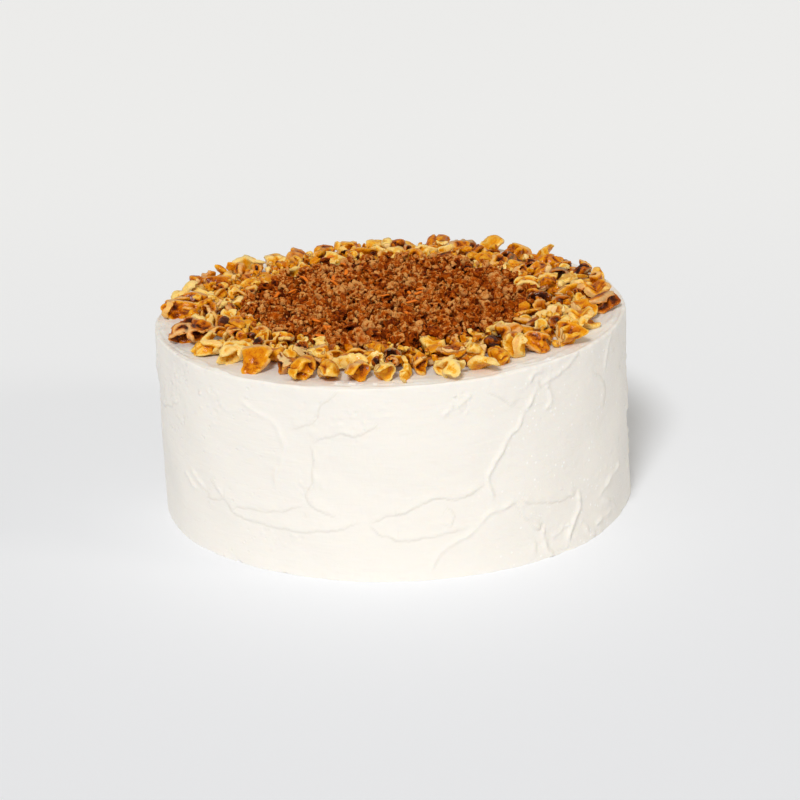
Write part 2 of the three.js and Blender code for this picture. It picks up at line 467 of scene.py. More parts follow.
def add_side_lip(knots, **sizes):
    """A lip on the side, from its angles and heights, wherever the angles start counting."""
    spread = np.array(knots, float) * (per_degree, 1)
    for turns in (-1, 0, 1):
        add_lip(side_relief, side_spots, spread + turns * once_round, **sizes)


for crest, knots in RIDGES:
    add_side_lip(knots, crest=crest, step=0.1, flank=1.25, edge=0.7, fade=6)
ridged = side_relief.copy()
for step, knots in LAPS:
    add_side_lip(knots, crest=0.1, step=step, flank=0.6, edge=0.25, fade=7)

# Light hardly reaches the crease under the edge of a lap, so painted shade makes it a darker line.
lapped = side_relief - ridged
beside = (np.roll(lapped, 1, 1) + np.roll(lapped, -1, 1)) / 2
above = (np.roll(lapped, 1, 0) + np.roll(lapped, -1, 0)) / 2
painted_crease_shade = np.clip((np.maximum(beside, above) - lapped) / CREASE_DEPTH, 0, 1)

scuffing = np.random.default_rng(31)
for amount, middle, half_size, heading in SCUFFS:
    for _ in range(amount):
        start = np.array(middle) + scuffing.normal(0, 0.5, 2) * half_size
        way = heading + scuffing.normal(0, 0.45)
        length = scuffing.uniform(1.5, 4.5)
        run = np.array([math.cos(way) / per_degree, math.sin(way)]) * length
        bend = scuffing.normal(0, 0.12) * run[::-1] * (-1 / per_degree, per_degree)
        knots = [start, start + run / 2 + bend, start + run]
        crest = scuffing.choice([-1, 1]) * scuffing.uniform(0.2, 0.5)
        add_side_lip(knots, crest=crest, step=0, flank=0.6, edge=0.45, fade=3)

# Round the back the strokes run the same ways, wandering as the hand did.
BACK_STROKES = 30
BACK_FROM, BACK_SPAN = 8, 160  # degrees
STROKE_WAYS = [0.15, 0.7, 1.2, 2.0, 2.9]  # in radians from level
STROKE_DEGREES, STROKE_RISE = 6.5, 9  # how far it runs to its next knot, round and up
strokes = np.random.default_rng(21)
for stroke in range(BACK_STROKES):
    angle = BACK_FROM + BACK_SPAN * (stroke + strokes.uniform(0.1, 0.9)) / BACK_STROKES
    rise = strokes.uniform(4, 76)
    heading = strokes.choice(STROKE_WAYS) + strokes.normal(0, 0.2)
    knots = [(angle, rise)]
    for _ in range(strokes.integers(3, 6)):
        angle += STROKE_DEGREES * math.cos(heading)
        rise += STROKE_RISE * math.sin(heading)
        heading += strokes.normal(0, 0.35)
        knots.append((angle, rise))
    if strokes.random() < 0.5:
        add_side_lip(knots, crest=strokes.uniform(0.25, 0.45), step=0.08, flank=1.6, edge=0.8, fade=6)
    else:
        add_side_lip(knots, crest=0.05, step=strokes.uniform(0.16, 0.28), flank=0.7, edge=0.35, fade=7)

# The top was smoothed on a turntable, which leaves fine rings near the rim.
BROAD_RING, FINE_RING = 2.6, 1.5  # how far apart they are
RINGS_START = (84, 92)  # they come in between these radii
top_spots = ways_out * grid_radius[..., None]
rings = np.sin(grid_radius * 2 * np.pi / BROAD_RING + 2.2 * waves(top_spots, 60, 4))
rings += 0.6 * np.sin(grid_radius * 2 * np.pi / FINE_RING + 3 * waves(top_spots, 45, 5))
ring_patches = smooth_step(waves(top_spots, 30, 11), -0.4, 0.6)
top_relief = (0.06 + 0.12 * ring_patches) * rings * smooth_step(grid_radius, *RINGS_START)
top_relief += 0.1 * waves(top_spots, 22, 6)
# Lips on the top: points by angle and distance from its middle, then crest, step and flank.
TOP_LIPS = [
    ([(-118, 97), (-104, 96), (-92, 97)], 0.45, 0.1, 0.7),
    ([(-114, 93), (-106, 94), (-96, 93)], 0.4, 0.1, 0.6),
    ([(-100, 99), (-94, 96.5), (-88, 95)], 0.4, 0.0, 0.6),
    ([(-96, 92), (-84, 93.5), (-72, 96)], 0.4, 0.1, 0.7),
    ([(-86, 97), (-78, 96), (-69, 98)], 0.4, 0.1, 0.6),
    ([(-146, 96), (-138, 98), (-130, 99)], 0.6, 0.0, 0.8),
    ([(-60, 96), (-50, 97.5), (-36, 96)], 0.4, 0.1, 0.8),
    ([(-66, 92), (-58, 94), (-50, 93)], 0.4, 0.1, 0.7),
    ([(-30, 92), (-20, 96), (-12, 98)], 0.4, 0.1, 0.9),
    ([(25, 97), (60, 95), (80, 98)], 0.35, 0.1, 0.9),
    ([(110, 96), (135, 94), (160, 98)], 0.35, 0.1, 0.9),
    ([(176, 94), (186, 97), (196, 98)], 0.4, 0.1, 0.9),
]
for knots, crest, step, flank in TOP_LIPS:
    turned = np.array([(r * math.cos(math.radians(a)), r * math.sin(math.radians(a))) for a, r in knots])
    add_lip(top_relief, top_spots, turned, crest, step, flank, edge=0.4, fade=4)

# The rim was drawn in by hand, so its edge wanders and is nicked here and there.
RIM_DEPTH = 2.5
RIM_START = (94, 98)  # on the top it comes in between these radii
plain_ring = ways_out * PLAIN_RADIUS
rim_wander = 0.16 * waves(plain_ring, 14, 7) + 0.1 * waves(plain_ring, 5, 8)
near_rim = np.exp(-((grid_level - 1) * height / RIM_DEPTH) ** 2) * smooth_step(grid_radius, *RIM_START)
# The foot is squeezed a little against the board and torn in places.
FOOT_DEPTH = 1.6
near_foot = np.exp(-((grid_level * height / FOOT_DEPTH) ** 2))
torn = np.clip(waves(spots, 7, 9) - 0.8, 0, 1)
side_relief += near_foot * (0.12 * waves(spots, 8, 10) - 0.9 * torn)

upright = np.broadcast_to(upright[:, None], relief.shape)
outward = upright * (relief + side_relief) + near_rim * rim_wander
upward = (1 - upright) * (top_relief + 0.15 * relief) + near_rim * rim_wander * 0.7
reach = grid_radius + outward
cake_x = reach * ways_out[..., 0] + LEAN * grid_level
cake_y = reach * ways_out[..., 1]
cake_z = grid_level * top_at(cake_x) + upward
cake_z = np.maximum(cake_z, 0)
frosting_points = np.stack([cake_x, cake_y, cake_z], -1).reshape(-1, 3)


def grid_faces(rows, columns):
    """Quads of a tube of points, row above row."""
    below = np.arange((rows - 1) * columns).reshape(rows - 1, columns)
    beside = np.roll(below, -1, axis=1)
    return np.stack([below, beside, beside + columns, below + columns], -1).reshape(-1, 4)


rows = len(level)
foot_cap = np.arange(AROUND)[::-1][None]
middle_cap = (np.arange(AROUND) + (rows - 1) * AROUND)[None]
faces = [grid_faces(rows, AROUND), foot_cap, middle_cap]

frosting = Finish(
    "buttercream",
    Subsurface_Weight=0.2,
    Subsurface_Radius=(1.0, 0.75, 0.5),
    Subsurface_Scale=1.0 * MM,
    Specular_IOR_Level=0.2,
)
cloud = frosting.noise(28, detail=3)
streaks = frosting.noise(5, detail=4, where=frosting.place(0.5, 0.5, 3.0), bend=0.6)
slant = frosting.noise(3, detail=3, where=frosting.place(1.2, 1.2, 0.5), bend=0.4)
cells = frosting.node("TexVoronoi", {}, {"Vector": frosting.place(), "Scale": 1 / BUBBLE_PITCH})
sideways = frosting.node("SeparateXYZ", {}, {0: frosting.place()}, output=0)
bubble_glint_patches = sideways.over(15, 75) * frosting.noise(14, detail=1).over(0.4, 0.55)
bubbles_and_glints = (1 - cells.over(0.09, 0.22)) * bubble_glint_patches
pitted = (0 - sideways).over(25, 80) * frosting.noise(11, detail=1).over(0.42, 0.6)
pits = (1 - cells.over(0.1, 0.28)) * pitted
creamy = frosting.mix(0.5 * cloud, FROSTING_COLOUR, WARM_COLOUR)
# Painted highlight: the bubbles on the right are lightened in colour to stand in for glints.
creamy = frosting.mix(0.9 * bubbles_and_glints, creamy, BUBBLE_GLINT_COLOUR)
# Painted shade: the creases under the laps are darkened in colour.
creamy = frosting.mix(0.22 * frosting.tint("hollow"), creamy, CREASE_SHADE_COLOUR)
frosting.set(
    Base_Color=creamy,
    Roughness=0.26 + 0.24 * streaks - 0.15 * bubbles_and_glints,
    Normal=frosting.bump(0.55 * streaks + 0.45 * slant + 0.25 * bubbles_and_glints - 0.6 * pits, 0.3),
)
frosted = mesh_object("frosting", frosting_points, faces, frosting, FROSTING_CREASE,
                      hollow=painted_crease_shade.ravel())
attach(frosted, "root")
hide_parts("frosted_cake")


# ---------------------------------------------------------------- walnut pieces
# Chopped walnut kernels: folded, lobed sheets under a thin glossy skin, from
# pale gold to dark brown, with cream flesh where the knife or a break went
# through. The outermost ones, each placed by its own solid, lie on the frosting.

FULL_TURN = 6.3  # of a wave's phase
JUST_OUTSIDE = 0.05


def cube_of_points(span, cells):
    """A cube of points that reaches `span` to each side of the middle, and the gap between them."""
    axis = np.linspace(-span, span, cells)
    return np.stack(np.meshgrid(axis, axis, axis, indexing="ij"), -1), axis[1] - axis[0]


def closed(field):
    """The field with its outermost layer left empty, so that the skin in it closes."""
    for axis in range(3):
        layers = np.moveaxis(field, axis, 0)
        layers[0] = layers[-1] = 1
    return field


def surface_net(field, low, step):
    """Closed quads round the part of a grid where the field is below zero."""
    inside = field < 0
    shape = np.array(field.shape) - 1
    hits = np.zeros(shape)
    total = np.zeros((*shape, 3))
    for axis in range(3):
        near, far = np.moveaxis(field, axis, 0)[:-1], np.moveaxis(field, axis, 0)[1:]
        crossed = (near < 0) != (far < 0)
        share = np.where(crossed, near / np.where(crossed, near - far, 1), 0)
        crossed, share = np.moveaxis(crossed, 0, axis), np.moveaxis(share, 0, axis)
        first, second = [other for other in range(3) if other != axis]
        for u in (0, 1):
            for v in (0, 1):
                part = [slice(None)] * 3
                part[first] = slice(u, shape[first] + u)
                part[second] = slice(v, shape[second] + v)
                here = crossed[tuple(part)]
                hits += here
                total[..., axis] += share[tuple(part)]
                total[..., first] += here * u
                total[..., second] += here * v
    active = hits > 0
    index = np.zeros(shape, int)
    index[active] = np.arange(active.sum())
    cell = np.argwhere(active)
    points = low + step * (cell + total[active] / hits[active][:, None])
    quads = []
    for axis in range(3):
        order = (axis, (axis + 1) % 3, (axis + 2) % 3)
        solid = np.transpose(inside, order)
        numbers = np.transpose(index, order)
        edge = solid[:-1, 1:-1, 1:-1] != solid[1:, 1:-1, 1:-1]
        x, y, z = np.nonzero(edge)
        y, z = y + 1, z + 1
        corners = [numbers[x, y - 1, z - 1], numbers[x, y, z - 1], numbers[x, y, z], numbers[x, y - 1, z]]
        quad = np.stack(corners, 1)
        leaving = solid[x + 1, y, z]
        quad[leaving] = quad[leaving][:, ::-1]
        quads.append(quad)
    return points, np.concatenate(quads)


def largest_part(field):
    """The field with all but the largest separate body taken away."""
    left = field < 0
    best = np.zeros_like(left)
    while left.sum() > best.sum():
        part = np.zeros_like(left)
        part[np.unravel_index(np.argmax(left), left.shape)] = True
        size = 0
        while part.sum() > size:
            size = part.sum()
            grown = part.copy()
            for axis in range(3):
                for shift in (-1, 1):
                    grown |= np.roll(part, shift, axis)
            part = grown & left
        if size > best.sum():
            best = part
        left &= ~part
    return np.where((field < 0) & ~best, JUST_OUTSIDE, field)


def blunt_max(first, second, bluntness):
    """The larger of two fields, with their meeting edge rounded."""
    share = np.clip(0.5 + 0.5 * (first - second) / bluntness, 0, 1)
    return second + (first - second) * share + bluntness * share * (1 - share)


def random_heading(rng, low, high):
    heading = rng.normal(size=3)
    return heading * rng.uniform(low, high) / np.linalg.norm(heading)


def kernel_piece(rng, cells, walls, thickness, bend, facets, breaks, fineness, shape):
    """Points, quads and point numbers of one piece, about 1 in radius.
    Each of its walls is a sheet `thickness` thick to both sides of a bent surface, and
    walls that cross make it branch. Grooves wander over it, facets give it its outline,
    and breaks show fresh flesh."""
    span = 1.3
    grid, step = cube_of_points(span, cells)

    def swells(count, low, high):
        low, high = low * fineness, high * fineness
        return [(random_heading(rng, low, high), rng.uniform(0, FULL_TURN)) for _ in range(count)]

    def swelling(points, parts):
        return sum(np.sin(points @ k + phase) for k, phase in parts) / len(parts) ** 0.5

    sheets = [(random_heading(rng, 1, 1), rng.normal(0, 0.12), swells(3, 2.2, 4.5)) for _ in range(walls)]
    lumps, grooves, grain = swells(4, 2.5, 4.5), swells(4, 3.5, 6), swells(6, 9, 15)
    sides = [(random_heading(rng, 1, 1), rng.uniform(0.35, 0.8)) for _ in range(facets + breaks)]

    def fields(points):
        lump = swelling(points, lumps)
        inside = []
        for way, middle, parts in sheets:
            ripple = sum(
                bend / np.linalg.norm(k) * (np.sin(points @ k + phase) - math.sin(phase))
                for k, phase in parts)
            steep = sum(
                bend * np.cos(points @ k + phase)[..., None] * k / np.linalg.norm(k)
                for k, phase in parts)
            depth = points @ way - middle + ripple
            inside.append(np.abs(depth) / (np.linalg.norm(way + steep, axis=-1) + 0.3))
        wall = np.minimum.reduce(inside) * 1.3 - thickness * (1 + 0.25 * lump)
        rough = swelling(points, grain)
        groove = np.exp(-(swelling(points, grooves) / 0.3) ** 2)
        ball = np.linalg.norm(points / shape, axis=-1) - 1 + 0.16 * lump
        skin = blunt_max(wall, ball, 0.04)
        for way, off in sides[:facets]:
            skin = blunt_max(skin, points @ way - off + 0.04 * lump, 0.03)
        skin = skin + (0.015 + 0.35 * thickness) * groove + 0.018 * rough
        cut = np.full(skin.shape, -9.0)
        for way, off in sides[facets:]:
            cut = np.maximum(cut, points @ way - off + 0.03 * rough)
        return skin, cut, ball - wall

    skin, cut, _ = fields(grid)
    whole = closed(blunt_max(skin, cut, 0.02))
    points, quads = surface_net(largest_part(whole), -span, step)
    skin, cut, outer = fields(points)
    flesh = np.clip((cut - skin) / 0.06 + 0.5, 0, 1)
    rim = np.clip(outer / 0.12 + 0.5, 0, 1) * smooth_step(-thickness, -0.3, -0.18)
    return points, quads, {"flesh": flesh, "rim": rim, "bulge": bulge_of(points, quads)}


def bulge_of(points, quads, passes=3):
    """How far each point stands out from those round it: above 0 on ridges, below in folds."""
    ends = np.concatenate([quads, np.roll(quads, 1, 1)]).ravel()
    beside = np.concatenate([np.roll(quads, 1, 1), quads]).ravel()
    count = np.bincount(ends, minlength=len(points))

    def spread(values):
        total = [np.bincount(ends, values[beside, k], len(points)) for k in range(values.shape[1])]
        return np.stack(total, 1) / np.maximum(count, 1)[:, None]

    facing = np.cross(points[quads[:, 2]] - points[quads[:, 0]], points[quads[:, 3]] - points[quads[:, 1]])
    spacing = np.sqrt(np.linalg.norm(facing, axis=1).mean())
    normal = [np.bincount(quads.ravel(), np.repeat(facing[:, k], 4), len(points)) for k in range(3)]
    normal = np.stack(normal, 1)
    normal /= np.linalg.norm(normal, axis=1)[:, None] + 1e-12
    wide = points
    for _ in range(passes):
        wide = spread(wide)
    return np.clip(((points - wide) * normal).sum(1) / spacing * 3, -1, 1)


WALNUT_TONES = [
    (0.0, (0.030, 0.006, 0.002)),
    (0.15, (0.10, 0.018, 0.002)),
    (0.3, (0.33, 0.062, 0.001)),
    (0.5, (0.63, 0.175, 0.001)),
    (0.7, (0.78, 0.31, 0.004)),
    (0.86, (0.86, 0.45, 0.040)),
    (1.0, (0.92, 0.64, 0.19)),
]
FLESH_COLOUR = (0.92, 0.69, 0.32)
SKIN_EDGE_COLOUR = (0.26, 0.06, 0.003)  # the torn edge of the skin
WALNUT_CREASE = 42

walnut = Finish(
    "walnut_kernel",
    Subsurface_Weight=0.12,
    Subsurface_Radius=(1.0, 0.4, 0.1),
    Subsurface_Scale=1.0 * MM,
    Specular_IOR_Level=0.16,
)
veins = walnut.noise(1.3, detail=3, rough=0.65, bend=1.0)
wrinkles = walnut.noise(2.2, detail=1.5, rough=0.5, bend=0.4)
patches = walnut.noise(5, detail=2)
off_vein = walnut.noise(3.6, detail=2, bend=1.5) - 0.5
fine_veins = 1 - (off_vein * off_vein).over(0.0001, 0.0016)
# The bulge makes ridges lighter and folds darker: painted light on the ridges and painted shade in the
# folds.
tone = walnut.tint("tone") + 0.35 * walnut.tint("bulge") + 0.36 * (patches - 0.5) + 0.3 * (veins - 0.5)
tone = tone - 0.14 * fine_veins
skin_colour = walnut.node("ValToRGB", {"stops": WALNUT_TONES}, {"Fac": tone.clamped()})
cut_through = walnut.tint("flesh")
broken = walnut.maths("MAXIMUM", cut_through, 0.7 * walnut.tint("rim"))
flesh = (broken - 0.8 * (veins - 0.35)).clamped()
flesh_colour = walnut.mix(0.22, FLESH_COLOUR, skin_colour)
skin_edge = (4 * cut_through * (1 - cut_through)).over(0.45, 0.95)
skin_or_flesh = walnut.mix(flesh, skin_colour, flesh_colour)
walnut.set(
    Base_Color=walnut.mix(0.6 * skin_edge, skin_or_flesh, SKIN_EDGE_COLOUR),
    Roughness=0.1 + 0.2 * flesh + 0.15 * veins,
    Normal=walnut.bump(wrinkles + 0.2 * veins, 0.5),
)

# The forms that pieces come in, for a piece 12 mm across: how many walls, half the
# thickness of one as a share of the piece's radius, how far it bends, and how many
# facets and broken faces it has.
FORMS = {
    "flake": (1, (0.15, 0.19), (0.4, 0.65), 4, 1),
    "fold": (1, (0.16, 0.22), (0.7, 1.0), 3, 1),
    "branch": (2, (0.13, 0.18), (0.5, 0.8), 3, 1),
    "lobe": (2, (0.22, 0.30), (0.6, 0.9), 3, 1),
    "chunk": (1, (0.38, 0.50), (0.6, 0.9), 4, 2),
}
FORM_RADIUS = 6
THICKEST = 0.5


def walnut_form(rng, form, radius, cells, shape=(1, 0.8, 0.65)):
    """Points in millimetres, quads and point numbers. A large piece is more folded and its
    walls are thinner for its size, as the kernel's folds are much the same in all."""
    walls, thickness, bend, facets, breaks = FORMS[form]
    share = radius / FORM_RADIUS
    thickness = min(rng.uniform(*thickness) / share ** 0.6, THICKEST)
    bend = rng.uniform(*bend)
    fineness = max(share, 0.8) ** 0.8
    points, quads, numbers = kernel_piece(
        rng, cells, walls, thickness, bend, facets, breaks, fineness, shape)
    return points * radius, quads, numbers


# The looks of the pieces at the front, in order from the left: form, tone and
# the number that its random shape starts from.
FRONT_LOOKS = [
    ("lobe", 0.46, 7),
    ("fold", 0.42, 8),
    ("flake", 0.86, 9),
    ("branch", 0.26, 5),
    ("branch", 0.70, 8),
    ("branch", 0.86, 5),
    ("fold", 0.50, 12),
    ("lobe", 0.30, 3),
    ("chunk", 0.56, 9),
    ("chunk", 0.60, 3),
    ("fold", 0.48, 9),
    ("flake", 0.72, 9),
    ("fold", 0.68, 7),
    ("branch", 0.46, 4),
    ("branch", 0.92, 1),
    ("flake", 0.72, 3),
    ("chunk", 0.50, 8),
    ("fold", 0.70, 1),
    ("branch", 0.42, 8),
    ("branch", 0.58, 6),
    ("flake", 0.80, 4),
    ("branch", 0.68, 4),
    ("lobe", 0.56, 6),
    ("fold", 0.22, 11),
    ("branch", 0.48, 4),
]
# Round the back the form and the tone are drawn at random.
BACK_TONES = [0.08, 0.26, 0.40, 0.48, 0.56, 0.62, 0.72, 0.88]
BACK_SEED = 100
SINK = 0.6  # how far a piece is pressed into the frosting
ROW_CELLS = 27
FLATTEST = 0.55  # the least that a piece measures one way, as a share of the most
MOST_STRETCH = 1.3
CROWDING = 1.05  # pieces lean on their neighbours by this share of their width
# This much of a piece, from its foot up, reaches its solid's outer side, and all of it
# does at the left and the right, where the way out has little depth.
FOOT_BAND = 1.2
LITTLE_DEPTH = 0.5

# How high things already stand over the top, on a fine square grid round its middle.
CELL = 0.7
HALF_BED = 106
bed = np.zeros((int(2 * HALF_BED / CELL) + 2,) * 2)


def bed_cells(points):
    cell = ((points[:, :2] + HALF_BED) / CELL).astype(int)
    cell = np.clip(cell, 0, len(bed) - 2)
    return cell[:, 0], cell[:, 1]


def lay_on_bed(points):
    """Raises the bed to the tops of points given from the middle of the top."""
    x, y = bed_cells(points)
    for dx in (0, 1):
        for dy in (0, 1):
            np.maximum.at(bed, (x + dx, y + dy), points[:, 2])


def on_cake(points):
    """Points over a level top moved to where the cake's sloping top is."""
    x = points[:, 0] + LEAN
    return np.stack([x, points[:, 1], points[:, 2] + top_at(x)], 1)


def row_piece(form, seed, size):
    """One piece fitted to its solid's size outwards, along the row and upwards. Its middle
    is at 0, and its foot is sunk a little into the frosting."""
    rng = np.random.default_rng(seed)
    shape = tuple(np.clip(size / size.max(), FLATTEST, 1))
    radius = size[:2].max() / 2
    cells = int(ROW_CELLS * (radius / FORM_RADIUS) ** 0.7)
    points, quads, numbers = walnut_form(rng, form, radius, cells, shape)
    low, high = points.min(0), points.max(0)
    fitted = size / (high - low)
    even = np.prod(fitted) ** (1 / 3)
    points = (points - (low + high) / 2) * even * np.clip(fitted / even, 1 / MOST_STRETCH, MOST_STRETCH)
    points[:, 2] -= points[:, 2].min() + SINK
    return points, quads, numbers


row_nodes = sorted(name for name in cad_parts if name.startswith("walnut_") and name != "walnut_heap")
looks = np.random.default_rng(77)
for number, node in enumerate(row_nodes):
    solid = cad_points(node) - (LEAN, 0, 0)
    solid[:, 2] -= top_at(solid[:, 0] + LEAN)
    middle = (solid[:, :2].min(0) + solid[:, :2].max(0)) / 2
    angle = math.atan2(middle[1], middle[0])
    outwards = np.array([math.cos(angle), math.sin(angle)])
    along = np.array([-outwards[1], outwards[0]])
    out, across = solid[:, :2] @ outwards, solid[:, :2] @ along
    size = np.array([np.ptp(out), CROWDING * np.ptp(across), solid[:, 2].max() + SINK])
    if number < len(FRONT_LOOKS):
        form, tone_here, seed = FRONT_LOOKS[number]
    else:
        form, tone_here = looks.choice(list(FORMS)), looks.choice(BACK_TONES)
        seed = BACK_SEED + number
    points, quads, numbers = row_piece(form, seed, size)
    foot = points[points[:, 2] < FOOT_BAND] if abs(outwards[1]) > LITTLE_DEPTH else points
    points[:, 0] += out.max() - foot[:, 0].max()
    points[:, 1] += (across.min() + across.max()) / 2
    placed = np.empty_like(points)
    placed[:, :2] = points[:, :1] * outwards + points[:, 1:2] * along
    placed[:, 2] = points[:, 2]
    lay_on_bed(placed)
    piece = mesh_object(node + "_kernel", on_cake(placed), quads, walnut, WALNUT_CREASE,
                        tone=np.full(len(points), tone_here), **numbers)
    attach(piece, "root")
    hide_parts(node)


# ---------------------------------------------------------------- the crumb core
# The bed of cake crumbs: what lies under the loose ones is packed close enough to
# be one body, with a surface of crumbs in relief.

CRUMB_TONES = [
    (0.0, (0.020, 0.002, 0.0002)),
    (0.3, (0.12, 0.014, 0.0005)),
    (0.55, (0.30, 0.041, 0.001)),
    (0.8, (0.55, 0.105, 0.0015)),
    (0.93, (0.74, 0.24, 0.025)),
    (1.0, (0.90, 0.42, 0.12)),
]
ORANGE_BATTER = (0.60, 0.11, 0.0005)
CORE_TONE = 0.36
CORE_DEPTH = 2.2  # how far the core's surface lies under the loose crumbs'
CORE_STEP = 0.85
CORE_INNER = 0.6  # radius of its innermost ring of points
CORE_SINK = 0.3

solid = cad_points("crumb_heap") - (LEAN, 0, 0)
crumb_radius = np.hypot(solid[:, 0], solid[:, 1]).max() - 1
crumb_top = np.percentile(solid[:, 2] - top_at(solid[:, 0] + LEAN), 75)

crumb = Finish(
    "cake_crumb",
    Subsurface_Weight=0.15,
    Subsurface_Radius=(1.0, 0.4, 0.2),
    Subsurface_Scale=0.8 * MM,
    Specular_IOR_Level=0.06,
)
speckle_and_glints = crumb.noise(0.65, detail=3, rough=0.75)
patches = crumb.noise(7, detail=3)
# The speckle is partly the crumb's own grain and partly painted glints: small light specks in the colour.
tone = crumb.tint("tone") + 1.8 * (speckle_and_glints - 0.5) + (patches - 0.5)
# Painted shade and light: the crumbs' hollows are darker in colour and their bumps lighter.
tone = tone + 0.45 * crumb.tint("bulge")
crumb_colour = crumb.node("ValToRGB", {"stops": CRUMB_TONES}, {"Fac": tone.clamped()})
orange = crumb.noise(3, detail=2, bend=0.5).over(0.5, 0.64)
crumb.set(
    Base_Color=crumb.mix(0.6 * orange, crumb_colour, ORANGE_BATTER),
    Roughness=0.75 - 0.35 * speckle_and_glints,
    Normal=crumb.bump(speckle_and_glints, 1.1),
)

turns = int(2 * np.pi * crumb_radius / CORE_STEP)
steps = int(crumb_radius / CORE_STEP)
reaches = np.linspace(crumb_radius, CORE_INNER, steps)
grid_angle, grid_reach = np.meshgrid(np.linspace(0, 2 * np.pi, turns, endpoint=False), reaches)
flat_x, flat_y = grid_reach * np.cos(grid_angle), grid_reach * np.sin(grid_angle)
spots = np.stack([flat_x, flat_y, 0 * flat_x], -1)
relief = 0.8 * waves(spots, 15, 31) + 0.9 * waves(spots, 6, 32) + 0.4 * waves(spots, 2.6, 33)
edge = smooth_step(crumb_radius - grid_reach, 0, 4)
rise = edge * (crumb_top - CORE_DEPTH + relief)
core = np.stack([flat_x, flat_y, rise - CORE_SINK], -1).reshape(-1, 3)
ring = np.arange(turns)
faces = [grid_faces(steps, turns), (ring + (steps - 1) * turns)[None], ring[::-1][None]]
lay_on_bed(core)
# Painted shade: the core's low places are darker in colour and its high ones lighter.
piece = mesh_object("crumb_core", on_cake(core), faces, crumb,
                    tone=np.full(len(core), CORE_TONE), bulge=np.clip(relief.ravel() * 0.6, -1, 1))
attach(piece, "root")
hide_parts("crumb_heap")


# ---------------------------------------------------------------- the walnut heap
# Inside the outermost row the pieces lie one over another, so here they are
# dropped at random on what already lies there, the large ones first.

heap = cad_points("walnut_heap") - (LEAN, 0, 0)
heap_reach = np.hypot(heap[:, 0], heap[:, 1])
heap_inner, heap_outer = heap_reach.min(), heap_reach.max()


def tumbled(rng, most_tilt):
    """A random turn that mostly keeps a piece lying flat."""
    spin, lean, way = rng.uniform(0, 2 * np.pi), rng.normal(0, most_tilt), rng.uniform(0, 2 * np.pi)
    return np.array(
        Matrix.Rotation(way, 3, "Z") @ Matrix.Rotation(lean, 3, "X") @ Matrix.Rotation(spin, 3, "Z")
    )


def drop(rng, points, reach_range, tries, overlap, ceiling, angle_range=(0, 2 * np.pi)):
    """The points moved to the lowest of a few random places where they come to rest, with the
    share `overlap` of them inside what lies there, or nothing if they reach over the ceiling."""
    best = None
    for _ in range(tries):
        reach, angle = rng.uniform(*reach_range), rng.uniform(*angle_range)
        there = points + (reach * math.cos(angle), reach * math.sin(angle), 0)
        lift = np.quantile(bed[bed_cells(there)] - there[:, 2], 1 - overlap)
        if best is None or lift < best[0]:
            best = lift, there
    lift, there = best
    there = there + (0, 0, lift)
    if there[:, 2].max() > ceiling:
        return None
    lay_on_bed(there)
    return there


class Pile:
    """Many like things joined as one piece."""

    def __init__(self):
        self.points, self.faces, self.numbers, self.size = [], [], {}, 0

    def add(self, points, faces, **numbers):
        self.points.append(points)
        self.faces.append(faces + self.size)
        for key, value in numbers.items():
            values = np.broadcast_to(value, len(points))
            self.numbers.setdefault(key, []).append(values)
        self.size += len(points)

    def finish(self, name, finish, crease, node, slot):
        numbers = {key: np.concatenate(values) for key, values in self.numbers.items()}
        points, faces = np.concatenate(self.points), np.concatenate(self.faces)
        piece = mesh_object(name, on_cake(points), faces, finish, crease, **numbers)
        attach(piece, "root")
        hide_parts(node)


# A low core under them, where only gaps between pieces show it. Its section is a list
# of corners, each by its distance from the middle and its height.
CORE_COLUMNS = 220
section = [(heap_inner + 1, 0), (heap_outer - 4, 0), (heap_outer - 7, 0.9), (heap_inner + 3, 1.1)]
core_angles = np.linspace(0, 2 * np.pi, CORE_COLUMNS, endpoint=False)
rings = []
for reach, rise in section:
    ring = np.stack([reach * np.cos(core_angles), reach * np.sin(core_angles), 0 * core_angles + rise], 1)
    ring[:, 2] += 0.3 * waves(ring, 6, 41) if rise else -0.2
    rings.append(ring)
core = np.vstack(rings)
last = (len(section) - 1) * CORE_COLUMNS
column = np.arange(CORE_COLUMNS)
beside = np.roll(column, -1)
closing = np.stack([column + last, beside + last, beside, column], 1)
core_pile = Pile()
faces = np.vstack([grid_faces(len(section), CORE_COLUMNS), closing])
core_pile.add(core, faces, tone=0.25, flesh=0.0, rim=0.0, bulge=0.0)
lay_on_bed(core)
core_pile.finish("walnut_core", walnut, WALNUT_CREASE, "walnut_heap", "walnut")

# name: share of the pieces, and the tones that they come in
WALNUT_KINDS = {
    "walnut_amber": (0.46, (0.33, 0.52)),
    "walnut_gold": (0.32, (0.56, 0.90)),
    "walnut_brown": (0.22, (-0.08, 0.28)),
}
CHUNKS = 360
LARGE_CHUNKS = 0.65 * CHUNKS
LARGE_RADII = (5.2, 8.8)
SMALL_RADII = (3.0, 5.0)
FORM_SHARES = [0.14, 0.14, 0.26, 0.24, 0.22]  # of the forms, in their order
CHUNK_CELLS = 21  # for one 12 mm across
CHUNK_TILT = 0.45

rng = np.random.default_rng(5)
piles = {name: Pile() for name in WALNUT_KINDS}
names = list(WALNUT_KINDS)
shares = [WALNUT_KINDS[name][0] for name in names]
for number in range(CHUNKS):
    form = rng.choice(list(FORMS), p=FORM_SHARES)
    radius = rng.uniform(*LARGE_RADII) if number < LARGE_CHUNKS else rng.uniform(*SMALL_RADII)
    shape = (1, rng.uniform(0.55, 0.9), rng.uniform(0.4, 0.65))
    cells = int(CHUNK_CELLS * (radius / FORM_RADIUS) ** 0.6)
    points, quads, numbers = walnut_form(rng, form, radius, cells, shape)
    points = points @ tumbled(rng, CHUNK_TILT).T
    points = drop(rng, points, (heap_inner + 1, heap_outer + 9), tries=8, overlap=0.2, ceiling=8.5)
    name = names[rng.choice(len(names), p=shares)]
    tone_here = rng.uniform(*WALNUT_KINDS[name][1])
    if points is not None:
        piles[name].add(points, quads, tone=tone_here, **numbers)

